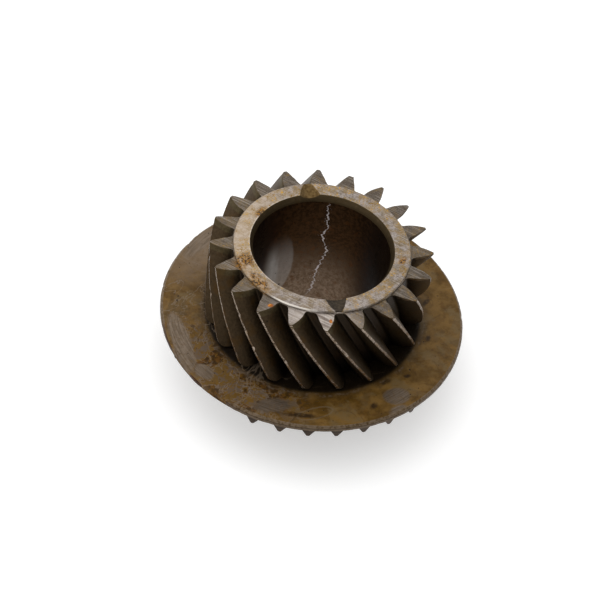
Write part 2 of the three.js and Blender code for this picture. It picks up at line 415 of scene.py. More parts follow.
def notch_tool(angle):
    """Round-bottomed tool, low at the bore and nearly level with the thrust ring at its edge."""
    sides = 64
    around = np.arange(sides) * 2 * math.pi / sides
    circle = [
        np.stack([np.full(sides, x), r * np.cos(around), r * np.sin(around) + NOTCH_TOOL_RADIUS], -1)
        for x, r in ((-13, 0.01), (-13, NOTCH_TOOL_RADIUS), (13, NOTCH_TOOL_RADIUS), (13, 0.01))
    ]
    place = (
        Matrix.Rotation(angle, 4, "Z")
        @ Matrix.Translation((RING_RADIUS, 0, TOP - NOTCH_EDGE_DEPTH))
        @ Matrix.Rotation(-math.atan(NOTCH_SLOPE), 4, "Y")
    )
    points = np.concatenate(circle) @ np.array(place.to_3x3()).T + np.array(place.translation)
    return loft("notch_tool", np.split(points, len(circle)))


def helical_gear():
    gear = gear_skin()
    boolean(gear, spline_prism("spline", 0, SPLINE_BOTTOM, SHOULDER + GAP, 30), "UNION")
    groove = ((GROOVE_RADIUS, SNAP_LOW.z - GAP), (GROOVE_RADIUS, SNAP_HIGH.z + GAP))
    groove += ((RING_RADIUS, SNAP_HIGH.z + GAP), (RING_RADIUS, SNAP_LOW.z - GAP))
    boolean(gear, turned("groove", groove), "DIFFERENCE")
    for angle in (NOTCH_ANGLE, NOTCH_ANGLE + math.pi):
        boolean(gear, notch_tool(angle), "DIFFERENCE")
    smooth(gear)
    return gear


GEAR_ZONES = ("flank", "ground", "tip", "bevel", "bore", "mouth", "notch", "hub")


def gear_zones(mesh):
    """Index of the zone that each face of the gear belongs to."""
    centres, normals = face_arrays(mesh)
    radius = np.hypot(centres[:, 0], centres[:, 1])
    angle = np.arctan2(centres[:, 1], centres[:, 0])
    height = centres[:, 2]
    outward = (normals[:, :2] * centres[:, :2]).sum(1) / radius
    zone = np.zeros(len(centres), np.int32)

    def put(name, where):
        zone[where] = GEAR_ZONES.index(name)

    at_top = height > TEETH_TOP - 2
    put("tip", (outward > 0.93) & (radius > TIP_RADIUS - 1.6) & (height > TEETH_BOTTOM + 1.2))
    put("bevel", at_top & (normals[:, 2] > 0.3) & (radius > RING_RADIUS))
    put("ground", (normals[:, 2] > 0.9) & (height > TEETH_TOP - 0.1))
    put("ground", (height > TEETH_TOP + 0.05) & (radius > RING_RADIUS - 1))
    put("bore", (outward < -0.5) & (radius < BORE_RADIUS + 0.1))
    put("mouth", (radius < MOUTH_RADIUS + 0.1) & (height > TOP - MOUTH_DEPTH) & (normals[:, 2] < 0.9))
    depth = NOTCH_EDGE_DEPTH + np.maximum(RING_RADIUS - radius, 0) * NOTCH_SLOPE
    around = np.abs(radius * np.sin(angle - NOTCH_ANGLE)) < np.sqrt(2 * NOTCH_TOOL_RADIUS * depth) + 0.05
    cut = (height < TOP - 0.02) & (height > TOP - 4) & (radius < RING_RADIUS - 0.02)
    put("notch", around & cut & (normals[:, 2] > 0.6) & (radius > BORE_RADIUS - 0.1))
    put("hub", (height < SHOULDER + 0.1) & (outward > -0.5))
    return zone


# ---------------------------------------------------------------- clutch parts


def stop_disc():
    """Thin disc with a rounded bevel on its rim, small dents round it, and a splined hole."""
    columns = 480
    angles = np.arange(columns) * 2 * math.pi / columns
    dents = sum(
        RNG.uniform(0.04, 0.22) * np.exp(-((wrap(angles - a) / RNG.uniform(0.006, 0.02)) ** 2))
        for a in RNG.uniform(0, 2 * math.pi, RIM_DENTS)
    )
    # two straight places, hammered or worn, on the left
    for middle in FLAT_PLACES:
        beside = np.clip(wrap(angles - middle), -FLAT_HALF_ANGLE, FLAT_HALF_ANGLE)
        chord = 1 - math.cos(FLAT_HALF_ANGLE) / np.cos(beside)
        dents = np.maximum(dents, DISC_RADIUS * chord)
    rim = (
        (DISC_RADIUS - 0.35, DISC_BOTTOM, 0),
        (DISC_RADIUS - 0.1, DISC_BOTTOM + 0.1, 0.5),
        (DISC_RADIUS - 0.02, DISC_BOTTOM + 0.3, 1),
        (DISC_RADIUS - 0.02, DISC_TOP - RIM_BEVEL - 0.12, 1),
        (DISC_RADIUS - 0.1, DISC_TOP - RIM_BEVEL + 0.05, 1),
        (DISC_RADIUS - RIM_BEVEL + 0.1, DISC_TOP - 0.12, 0.7),
        (DISC_RADIUS - RIM_BEVEL - 0.1, DISC_TOP - 0.02, 0.3),
        (DISC_RADIUS - RIM_BEVEL - 0.5, DISC_TOP, 0),
    )
    rows = [polar_row(r - dents * share, angles, z) for r, z, share in rim]
    for r in (52, 44, 38, SPLINE_BLANK_RADIUS):
        rows.append(polar_row(r, angles, DISC_TOP))
    rows.append(polar_row(SPLINE_BLANK_RADIUS, angles, DISC_BOTTOM))
    disc = loft("stop_disc_visual", rows)
    hole = spline_prism("hole", GAP, DISC_BOTTOM - 2, DISC_TOP + 2, SPLINE_TOOL_RADIUS)
    boolean(disc, fill_bore(hole), "DIFFERENCE")
    smooth(disc)
    return disc


def fill_bore(tool):
    """Makes a ring-shaped tool reach to the axis by joining a core to it."""
    low, high = tool.bound_box[0][2] / MM, tool.bound_box[6][2] / MM
    outline = ((0.01, low), (SPLINE_CORE_RADIUS, low), (SPLINE_CORE_RADIUS, high), (0.01, high))
    core = turned("core", outline, 48)
    return boolean(tool, core, "UNION")


def dog_tooth(angle):
    """House-shaped tooth that points down, with small bevels."""
    wide, narrow = DOG_WIDTH / 2, DOG_TIP_WIDTH / 2
    top, tip = DOG_HIGH.z - 0.05, DOG_LOW_TIP
    eave = tip + DOG_ROOF
    outline = (
        (-wide, top),
        (-wide, eave + 0.3),
        (-wide + 0.12, eave - 0.1),
        (-narrow - 0.1, tip + 0.18),
        (-narrow + 0.2, tip),
        (narrow - 0.2, tip),
        (narrow + 0.1, tip + 0.18),
        (wide - 0.12, eave - 0.1),
        (wide, eave + 0.3),
        (wide, top),
    )
    rows = []
    sections = ((DOG_ROOT_RADIUS - 2, 0), (DOG_RADIUS - 0.35, 0), (DOG_RADIUS - 0.1, 0.6), (DOG_RADIUS, 1))
    for x, shrink in sections:
        middle = (top + tip) / 2
        row = [
            (x, y * (1 - 0.1 * shrink), middle + (z - middle) * (1 - 0.09 * shrink))
            for y, z in outline
        ]
        rows.append(np.array(row))
    turn = np.array(Matrix.Rotation(angle, 3, "Z"))
    points = np.concatenate(rows) @ turn.T
    count = len(outline)
    faces = [tuple(range(count)), tuple(range(len(points) - count, len(points)))[::-1]]
    for row in range(len(rows) - 1):
        for i in range(count):
            j = (i + 1) % count
            faces.append((row * count + j, row * count + i, (row + 1) * count + i, (row + 1) * count + j))
    return points, faces


def dog_ring():
    top = DOG_HIGH.z
    web_bottom = top - WEB_THICKNESS
    body_bottom = DOG_LOW_TIP + 0.5
    spigot = DOG_LOW.z
    outline = (
        (SPLINE_BLANK_RADIUS, web_bottom),
        (SPIGOT_INNER_RADIUS - 0.4, web_bottom),
        (SPIGOT_INNER_RADIUS, web_bottom - 0.4),
        (SPIGOT_INNER_RADIUS, spigot + 0.3),
        (SPIGOT_INNER_RADIUS + 0.3, spigot),
        (SPIGOT_RADIUS - 0.3, spigot),
        (SPIGOT_RADIUS, spigot + 0.3),
        (SPIGOT_RADIUS, body_bottom),
        (DOG_ROOT_RADIUS - 0.5, body_bottom),
        (DOG_ROOT_RADIUS, body_bottom + 0.5),
        (DOG_ROOT_RADIUS, top),
        (SPLINE_BLANK_RADIUS, top),
    )
    ring = turned("dog_ring_visual", outline, 240)
    hole = spline_prism("hole", GAP, spigot - 2, top + 2, SPLINE_TOOL_RADIUS)
    boolean(ring, fill_bore(hole), "DIFFERENCE")
    points, faces = [], []
    pitch = 2 * math.pi / DOG_PLACES
    for group in range(DOG_GROUPS):
        for i in range(DOGS_IN_GROUP):
            place = group * DOG_PLACES // DOG_GROUPS + i
            tooth_points, tooth_faces = dog_tooth(FIRST_DOG + place * pitch)
            faces += [tuple(v + len(points) for v in face) for face in tooth_faces]
            points += list(tooth_points)
    boolean(ring, object_from("dog_teeth", points, faces), "UNION")
    smooth(ring, 28)
    return ring


def friction_cone():
    top, bottom = CONE_HIGH.z, CONE_LOW.z
    end = CONE_RADIUS - (top - bottom) * math.tan(CONE_ANGLE)
    seat = DOG_LOW.z - GAP
    outline = (
        (CONE_INNER_RADIUS, bottom + 0.3),
        (CONE_INNER_RADIUS + 0.3, bottom),
        (end - 0.6, bottom),
        (end - 0.2, bottom + 0.15),
        (end + 0.02, bottom + 0.6),
        (CONE_RADIUS, top - 0.02),
        (CONE_RADIUS - 0.1, top),
        (SPIGOT_RADIUS + GAP + 0.2, top),
        (SPIGOT_RADIUS + GAP, top - 0.2),
        (SPIGOT_RADIUS + GAP, seat),
        (CONE_INNER_RADIUS + 0.3, seat),
        (CONE_INNER_RADIUS, seat - 0.3),
    )
    cone = turned("friction_cone_visual", outline, 256)
    smooth(cone)
    return cone


def snap_ring():
    """Open ring of rounded rectangular section."""
    bottom, top, soft = SNAP_LOW.z, SNAP_HIGH.z, 0.2
    section = []
    for r, z, start in (
        (SNAP_OUTER - soft, top - soft, 0),
        (SNAP_INNER + soft, top - soft, 90),
        (SNAP_INNER + soft, bottom + soft, 180),
        (SNAP_OUTER - soft, bottom + soft, 270),
    ):
        for degrees in (0, 30, 60, 90):
            a = math.radians(start + degrees)
            section.append((r + soft * math.cos(a), z + soft * math.sin(a)))
    section = np.array(section)
    angles = np.linspace(SNAP_OPENING / 2, 2 * math.pi - SNAP_OPENING / 2, 160)
    points = np.concatenate([polar_row(section[:, 0], a, section[:, 1]) for a in angles])
    count = len(section)
    faces = [tuple(range(count))[::-1], tuple(range(len(points) - count, len(points)))]
    for row in range(len(angles) - 1):
        for i in range(count):
            j = (i + 1) % count
            faces.append((row * count + i, row * count + j, (row + 1) * count + j, (row + 1) * count + i))
    ring = object_from("snap_ring_visual", points, faces)
    smooth(ring)
    return ring


# ---------------------------------------------------------------- pieces

pieces = {
    "helical_gear": (helical_gear(), "gear_steel"),
    "stop_disc": (stop_disc(), "varnished_steel"),
    "dog_ring": (dog_ring(), "dog_steel"),
    "friction_cone": (friction_cone(), "cone_steel"),
    "snap_ring": (snap_ring(), "spring_steel"),
}
body = next(iter(frame["bodies"]))
for node, (piece, slot_name) in pieces.items():
    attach(piece, body)
    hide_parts(node)


# ---------------------------------------------------------------- materials


def shade(red, green, blue):
    """Linear colour from a display's numbers of 0 to 255."""
    return (*(((c / 255 + 0.055) / 1.055) ** 2.4 for c in (red, green, blue)), 1)


class Surface:
    """A material whose nodes are made with short calls. Points and sizes are in millimetres."""

    def __init__(self, name, metallic=0.0, specular=0.5):
        self.material = bpy.data.materials.new(name)
        self.material.use_nodes = True
        self.tree = self.material.node_tree
        self.shader = self.tree.nodes["Principled BSDF"]
        self.shader.inputs["Metallic"].default_value = metallic
        self.shader.inputs["Specular IOR Level"].default_value = specular

    def node(self, kind, inputs, output=0, **settings):
        node = self.tree.nodes.new("ShaderNode" + kind)
        for key, value in settings.items():
            setattr(node, key, value)
        for key, value in inputs.items():
            self.put(node.inputs[key], value)
        return node.outputs[output]

    def put(self, socket, value):
        if isinstance(value, bpy.types.NodeSocket):
            self.tree.links.new(value, socket)
        else:
            socket.default_value = value

    @cached_property
    def point(self):
        metres = self.node("TexCoord", {}, output=3)
        return self.node("VectorMath", {0: metres, "Scale": 1 / MM}, operation="SCALE")

    @cached_property
    def axes(self):
        return self.node("SeparateXYZ", {0: self.point}).node.outputs

    @cached_property
    def radius(self):
        flat = self.node("CombineXYZ", {0: self.axes[0], 1: self.axes[1]})
        return self.node("VectorMath", {0: flat}, output=1, operation="LENGTH")

    @cached_property
    def angle(self):
        return self.math("ARCTAN2", self.axes[1], self.axes[0])

    @cached_property
    def drawn_round(self):
        """Place with distances round the axis shortened, so that blotches are drawn out round it."""
        flat = self.node("CombineXYZ", {0: self.axes[0], 1: self.axes[1]})
        direction = self.node("VectorMath", {0: flat}, operation="NORMALIZE")
        around = self.node("VectorMath", {0: direction, "Scale": 9}, operation="SCALE")
        across = self.node("CombineXYZ", {2: self.math("ADD", self.axes[2], self.radius)})
        return self.node("VectorMath", {0: around, 1: across}, operation="ADD")

    @cached_property
    def unrolled(self):
        """Place on the bore's wall: along its arc, up, and 0."""
        return self.node("CombineXYZ", {0: self.math("MULTIPLY", self.angle, BORE_RADIUS), 1: self.axes[2]})

    def math(self, operation, *values):
        return self.node("Math", dict(enumerate(values)), operation=operation)

    def noise(self, size, detail=3.0, roughness=0.55, distortion=0.0, at=None):
        """Noise of 0 to 1 with blotches about size across."""
        inputs = {"Vector": at or self.point, "Scale": 1 / size}
        inputs |= {"Detail": detail, "Roughness": roughness, "Distortion": distortion}
        return self.node("TexNoise", inputs)

    def streaks(self, degrees, length, width, detail=2.0):
        """Noise drawn out into straight lines seen from above."""
        inputs = {"Vector": self.point, "Rotation": (0, 0, math.radians(degrees))}
        inputs["Scale"] = (length, width, width)
        at = self.node("Mapping", inputs, vector_type="TEXTURE")
        return self.noise(1, detail, at=at)

    def step(self, value, low, high, to_low=0.0, to_high=1.0):
        """Smooth change from to_low to to_high while value goes from low to high."""
        inputs = {"Value": value, "From Min": low, "From Max": high, "To Min": to_low, "To Max": to_high}
        return self.node("MapRange", inputs, interpolation_type="SMOOTHSTEP")

    def both(self, *masks):
        product = masks[0]
        for mask in masks[1:]:
            product = self.math("MULTIPLY", product, mask)
        return product

    def either(self, *masks):
        most = masks[0]
        for mask in masks[1:]:
            most = self.math("MAXIMUM", most, mask)
        return most

    def mix(self, factor, first, second):
        return self.node("Mix", {0: factor, 6: first, 7: second}, output=2, data_type="RGBA")

    def spot(self, x, y, half_length, half_width, degrees=0.0, ragged=0.25, soft=0.15, at=None):
        """Mask of an ellipse with a ragged edge."""
        inputs = {"Vector": at or self.point, "Location": (x, y, 0)}
        inputs |= {"Rotation": (0, 0, math.radians(degrees)), "Scale": (half_length, half_width, 1e5)}
        unit = self.node("Mapping", inputs, vector_type="TEXTURE")
        distance = self.node("VectorMath", {0: unit}, output=1, operation="LENGTH")
        wobble = self.math("MULTIPLY_ADD", self.noise(4, 4), 2 * ragged, -ragged)
        return self.step(self.math("ADD", distance, wobble), 1 + soft, 1 - soft)

    def spots(self, places):
        """Mask of several ellipses, each given as the arguments of spot."""
        return self.either(*(self.spot(*place) for place in places))

    def finish(self, color, roughness, height, depth, metallic=None):
        """Links the shader and returns the material. Height of 0 to 1 stands for a relief of depth."""
        self.put(self.shader.inputs["Base Color"], color)
        self.put(self.shader.inputs["Roughness"], roughness)
        if metallic:
            self.put(self.shader.inputs["Metallic"], metallic)
        bump = self.node("Bump", {"Height": height, "Distance": depth * MM})
        self.put(self.shader.inputs["Normal"], bump)
        return self.material


# Marks seen from above, each with the arguments of spot: x, y, half length, half width, turn in
# degrees, and for most how ragged and how soft. Their places follow the photo.
POLISHED_ENDS = (2, -39, 15, 7, 0, 0.25, 0.7)
CLEAN_FACE = (-7, -36, 20, 9, -12, 0.25, 0.4)
# where the ring's bevel has a painted highlight
PAINTED_BEVEL_HIGHLIGHT = (-9, -35, 9, 4, -8, 0.3, 0.5)
RUST_PATCHES = (
    (-30, -15, 4.5, 3.4, 60, 0.5, 0.5),
    (-22.5, -25.5, 6, 2.4, -45, 0.5, 0.5),
    (-26.5, 14, 3.5, 1.6, 60, 0.5, 0.5),
    (32.7, -1.2, 2.2, 1.4, 80, 0.5, 0.5),
)
ORANGE_SPOTS = ((-16.7, -35.9, 1.1, 0.8, 20, 0.5, 0.3), (7.5, -39.3, 0.6, 1.1, 0, 0.5, 0.3))
DISC_DEPOSITS = (-26, -40, 30, 15, -38, 0.3, 0.5)
DISC_HAZE = (-44, 30, 26, 12, 55, 0.3, 0.6)
DISC_BARE_PLACES = (
    (-50.6, -28.6, 16, 3.8, -66),
    (-39.5, -42.5, 4.6, 3.4, -30),
    (-10, -54.6, 7.5, 3.4, 16, 0.3, 0.3),
    (38.7, -40, 5.6, 4.2, 25, 0.12),
    (40, -47, 4, 2, 40, 0.4, 0.4),
    (-52, 28, 10, 3.5, 62, 0.5, 0.4),
)
DISC_STAINS = (
    (46.7, 14, 2.6, 1.0, 70, 0.5, 0.6),
    (49, -6, 1.8, 1.0, 80, 0.5, 0.6),
    (42, -28.5, 1.4, 0.8, 20, 0.5, 0.6),
    (34, -33.3, 2.4, 1.0, 40, 0.5, 0.6),
    (30, -46.8, 1.7, 1.2, 60, 0.5, 0.6),
    (2, -57.5, 8, 1.2, 4, 0.6, 0.6),
)
SCRAPE = (7, -55.5, 8, 3, 28, 0.15, 0.06)
SCRAPE_INSIDE = (7, -55.5, 7.2, 2.3, 28, 0.15, 0.06)
RUSTY_RIM = (-46, -42, 24, 14, -48, 0.3, 0.3)


def ground_steel():
    """Bare ground faces: brushed scratches, grey and golden blotches, yellow specks and rust."""
    s = Surface("ground_steel", specular=0.3)
    long_lines = s.streaks(-24, 16, 0.22)
    cross_lines = s.streaks(48, 7, 0.3)
    grain = s.noise(0.7, 5, 0.7)
    color = s.mix(s.step(s.noise(2.4, 5, 0.65), 0.4, 0.6), shade(142, 133, 128), shade(116, 102, 84))
    color = s.mix(s.step(grain, 0.48, 0.64, 0, 0.85), color, shade(88, 76, 62))
    color = s.mix(s.step(cross_lines, 0.56, 0.66, 0, 0.5), color, shade(80, 69, 60))

    # lighter towards the left
    on_left = s.step(s.axes[0], -12, -33, 0, 0.35)
    color = s.mix(on_left, color, shade(198, 174, 142))

    # the teeth's ends are duller than the ring, apart from a polished place at the front
    polished = s.spot(*POLISHED_ENDS)
    ends = s.step(s.axes[2], TOP - 0.4, TOP - 0.8)
    dull = s.both(ends, s.step(polished, 0, 1, 0.85, 0))
    color = s.mix(dull, color, s.mix(s.step(grain, 0.4, 0.6), shade(88, 78, 68), shade(68, 58, 46)))
    color = s.mix(s.step(long_lines, 0.52, 0.66, 0, 0.5), color, shade(178, 170, 160))
    bright = s.both(ends, polished)
    color = s.mix(s.math("MULTIPLY", bright, 0.5), color, shade(190, 181, 174))
    brushed = s.both(bright, s.step(s.streaks(-20, 12, 0.45), 0.48, 0.6, 0, 0.9))
    color = s.mix(brushed, color, shade(104, 92, 84))

    # the ring's bevel has a painted highlight at the front, and the mouth's edge a painted highlight on the
    # left
    at_edge = s.step(s.radius, RING_RADIUS - 0.55, RING_RADIUS - 0.3)
    bevel = s.both(at_edge, s.step(s.axes[2], TOP - 0.7, TOP - 0.5), s.spot(*PAINTED_BEVEL_HIGHLIGHT))
    at_mouth = s.step(s.radius, MOUTH_RADIUS + 0.45, MOUTH_RADIUS + 0.25)
    mouth_edge_painted_highlight = s.both(at_mouth, s.step(s.axes[0], -8, -22, 0, 0.3))
    color = s.mix(s.either(bevel, mouth_edge_painted_highlight), color, shade(236, 228, 218))

    clean = s.spot(*CLEAN_FACE)
    stained = s.step(s.noise(5, 5, 0.6), 0.44, 0.56)
    dirty = s.both(stained, s.step(clean, 0, 1, 1, 0.1), s.step(ends, 0, 1, 1, 0.4))
    specks = s.step(s.noise(0.8, 4, 0.6, 0.6), 0.55, 0.61)
    color = s.mix(s.both(dirty, s.step(grain, 0.35, 0.6, 0, 0.5)), color, shade(140, 114, 66))
    gold = s.mix(s.step(s.noise(3, 2), 0.45, 0.55), shade(112, 82, 26), shade(172, 132, 48))
    color = s.mix(s.both(dirty, specks), color, gold)
    rust_places = s.spots(RUST_PATCHES)
    color = s.mix(s.math("MULTIPLY", rust_places, 0.5), color, shade(140, 104, 48))
    rust = s.both(rust_places, s.step(s.noise(1.5, 5, 0.7), 0.47, 0.52))
    rust_color = s.mix(s.step(s.noise(0.8, 3), 0.46, 0.54), shade(38, 22, 8), shade(140, 94, 16))
    color = s.mix(rust, color, rust_color)
    orange = s.spots(ORANGE_SPOTS)
    color = s.mix(orange, color, s.mix(s.step(grain, 0.42, 0.5), shade(206, 132, 26), shade(140, 74, 10)))
    rough = s.math("ADD", s.math("MULTIPLY", grain, 0.5), s.math("MULTIPLY", s.either(rust, dull), 0.4))
    height = s.math("ADD", s.math("MULTIPLY", long_lines, 0.5), s.math("MULTIPLY", grain, 0.5))
    metal = s.step(s.either(rust, orange), 0, 1, 0.75, 0.1)
    return s.finish(color, s.step(rough, 0.1, 0.6, 0.3, 0.6), height, 0.05, metal)


def flank_steel(name, dark, light, stain):
    """Oily working faces: dark brown, mottled, with faint lines along the helix and small pits, and painted
    shade towards the roots and the teeth's lower ends.
    """
    s = Surface(name, metallic=0.85, specular=0.15)
    arc = s.math("MULTIPLY", s.angle, PITCH_RADIUS)
    along = s.math("MULTIPLY_ADD", s.axes[2], TWIST * PITCH_RADIUS, arc)
    inputs = {0: along, 1: s.math("MULTIPLY", s.axes[2], 0.05), 2: s.math("MULTIPLY", s.radius, 1.5)}
    lines = s.noise(0.5, 4, at=s.node("CombineXYZ", inputs))
    mottle = s.noise(1.1, 5, 0.7)
    color = s.mix(s.step(mottle, 0.3, 0.8), dark, light)
    color = s.mix(s.step(lines, 0.5, 0.75, 0, 0.4), color, light)
    color = s.mix(s.step(s.noise(7, 3, distortion=0.5), 0.5, 0.68, 0, 0.6), color, stain)
    # painted shade: darker towards the tooth roots, and nearly black low between the teeth near their lower
    # ends
    color = s.mix(s.step(s.radius, 38.8, 36.6, 0, 0.75), color, shade(18, 12, 8))
    low = s.both(s.step(s.axes[2], TEETH_BOTTOM + 14, TEETH_BOTTOM + 1), s.step(s.radius, 42.5, 39))
    color = s.mix(s.math("MULTIPLY", low, 0.85), color, shade(12, 8, 5))
    pits = s.step(s.noise(0.8, 2), 0.7, 0.75)
    color = s.mix(pits, color, shade(14, 10, 8))
    height = s.math("SUBTRACT", s.math("MULTIPLY", lines, 0.5), pits)
    return s.finish(color, s.step(mottle, 0.3, 0.7, 0.36, 0.5), height, 0.04)


def notch_steel():
    """Oil notches: golden brown at the back, and dark grey brown at the front as painted shade."""
    s = Surface("notch_steel", metallic=0.85, specular=0.3)
    mottle = s.noise(1.2, 5, 0.6)
    blotch = s.step(mottle, 0.36, 0.64)
    golden = s.mix(blotch, shade(98, 79, 48), shade(76, 57, 29))
    dark = s.mix(blotch, shade(60, 50, 38), shade(44, 36, 26))
    # painted shade: the front notch is the same steel made darker by its place
    color = s.mix(s.step(s.axes[1], -10, 10), dark, golden)
    return s.finish(color, s.step(mottle, 0.3, 0.7, 0.38, 0.54), mottle, 0.04)


def tip_steel():
    """Tip lands: rubbed bright, golden brown towards the lower ends, with dark nicks."""
    s = Surface("tip_steel", metallic=0.75)
    grain = s.noise(0.6, 5, 0.7)
    color = s.mix(s.step(grain, 0.42, 0.6), shade(164, 150, 136), shade(80, 65, 50))
    lower = s.step(s.axes[2], TOP - 8, TEETH_BOTTOM + 8, 0.25, 1)
    color = s.mix(s.both(lower, s.step(s.noise(2.4, 4), 0.42, 0.6, 0, 0.85)), color, shade(112, 82, 42))
    color = s.mix(s.step(s.noise(1.1, 4, 0.6), 0.57, 0.66), color, shade(36, 26, 17))
    return s.finish(color, s.step(grain, 0.3, 0.7, 0.32, 0.5), grain, 0.06)


# The trickle's route: depth below the ring's face, and angle in degrees. It was measured on the
# photo and rounded, and its upper end was then adjusted.
TRICKLE = (
    (0, 89), (6, 90), (11, 89), (14, 89), (17, 87.5), (22, 91),
    (31, 86), (37, 89), (45, 92), (53, 93.5), (60, 99),
)
TRICKLE_LENGTH = TRICKLE[-1][0]
TRICKLE_FROM = 70  # degrees
TRICKLE_SPAN = 30  # degrees
# place of the painted reflection patch in the bore
REFLECTION_PATCH_ANGLE = math.radians(131)
REFLECTION_PATCH_DEPTH = 37


def bore_film():
    """Brown oily film on the bore, with a pale trickle down the back and pits, painted light low in the
    middle, painted shade at its sides and a painted reflection patch.
    """
    s = Surface("bore_film", specular=0.12)
    down = s.math("SUBTRACT", TOP, s.axes[2])
    mottle = s.noise(1.6, 5, 0.65)
    # painted light: the lower middle of the bore's back wall is made lighter
    lit = s.spot(math.radians(96) * BORE_RADIUS, 3, 26, 42, at=s.unrolled, soft=0.6)
    painted_light_low_middle = s.both(s.step(down, 20, 60), lit)
    color = s.mix(s.step(mottle, 0.38, 0.62), shade(56, 38, 22), shade(82, 57, 36))
    painted_light_color = s.mix(s.step(mottle, 0.35, 0.65), shade(150, 128, 108), shade(120, 99, 80))
    color = s.mix(painted_light_low_middle, color, painted_light_color)
    color = s.mix(s.step(s.noise(3, 4), 0.56, 0.7, 0, 0.5), color, shade(98, 60, 30))
    color = s.mix(s.step(s.noise(0.5, 4, 0.7), 0.52, 0.66, 0, 0.35), color, shade(26, 17, 11))
    # painted shade: the bore's sides are made darker
    painted_shade_sides = s.math("ABSOLUTE", s.math("SUBTRACT", s.angle, math.radians(97)))
    painted_shade_sides = s.step(painted_shade_sides, math.radians(26), math.radians(62))
    color = s.mix(s.math("MULTIPLY", painted_shade_sides, 0.85), color, shade(14, 9, 6))

    # the painted reflection patch ends sharply on its right and fades out upwards and to the left; painted
    # streaks of reflection brighten it
    middle = REFLECTION_PATCH_ANGLE * BORE_RADIUS
    painted_reflection = s.spot(middle, TOP - REFLECTION_PATCH_DEPTH, 8.3, 19, at=s.unrolled, ragged=0.04, soft=0.06)
    painted_reflection = s.both(painted_reflection, s.step(s.angle, math.radians(152), math.radians(124)), s.step(down, 18, 38))
    painted_reflection_gleam = s.spot(middle + 3.2, TOP - REFLECTION_PATCH_DEPTH - 1, 3.2, 14, at=s.unrolled, ragged=0.12, soft=0.9)
    second = s.spot(middle - 0.4, TOP - REFLECTION_PATCH_DEPTH - 5, 1.4, 10, at=s.unrolled, ragged=0.12, soft=0.9)
    painted_reflection_gleam = s.either(painted_reflection_gleam, s.math("MULTIPLY", second, 0.5))
    color = s.mix(s.both(painted_reflection, s.step(painted_reflection_gleam, 0, 1, 0.3, 1)), color, shade(192, 188, 184))

    line = s.tree.nodes.new("ShaderNodeFloatCurve")
    s.put(line.inputs["Value"], s.math("DIVIDE", down, TRICKLE_LENGTH))
    curve = line.mapping.curves[0].points
    curve[0].location = (0, (TRICKLE[0][1] - TRICKLE_FROM) / TRICKLE_SPAN)
    curve[1].location = (1, (TRICKLE[-1][1] - TRICKLE_FROM) / TRICKLE_SPAN)
    for depth, degrees in TRICKLE[1:-1]:
        curve.new(depth / TRICKLE_LENGTH, (degrees - TRICKLE_FROM) / TRICKLE_SPAN)
    line.mapping.update()
    sideways = s.noise(1.7, 1.5, 0.6, at=s.node("CombineXYZ", {1: s.axes[2]}))
    zigzag = s.math("MULTIPLY_ADD", sideways, 3.2, -1.6)
    span = math.radians(TRICKLE_SPAN) * BORE_RADIUS
    start = math.radians(TRICKLE_FROM) * BORE_RADIUS
    path = s.math("MULTIPLY_ADD", line.outputs[0], span, start)
    across = s.math("SUBTRACT", s.math("MULTIPLY", s.angle, BORE_RADIUS), s.math("ADD", path, zigzag))
    beside = s.math("ABSOLUTE", across)
    width = s.step(s.noise(2.2, 2), 0.35, 0.7, 0.1, 0.44)
    near = s.both(s.step(beside, 2.4, 0.5), s.step(down, 36, 46, 0.35, 1))
    drops = s.both(s.step(s.noise(0.9, 3), 0.62, 0.66), near)
    trickle = s.either(s.step(s.math("SUBTRACT", beside, width), 0.12, -0.05), drops)
    trickle = s.both(trickle, s.step(down, 61, 55), s.step(down, 2.9, 4.5))
    color = s.mix(s.both(trickle, s.step(down, 60, 40, 0.45, 0.95)), color, shade(240, 230, 228))
    pits = s.step(s.noise(1.4, 2), 0.72, 0.76)
    color = s.mix(pits, color, shade(20, 12, 8))
    rough = s.math("ADD", mottle, s.math("MULTIPLY", trickle, 0.3))
    height = s.math("SUBTRACT", s.math("ADD", s.math("MULTIPLY", mottle, 0.3), trickle), pits)
    s.shader.inputs["Specular Tint"].default_value = (0.4, 0.32, 0.25, 1)
    metal = s.step(painted_shade_sides, 0, 1, 0.7, 0.35)
    return s.finish(color, s.step(rough, 0.3, 0.8, 0.28, 0.5), height, 0.06, metal)


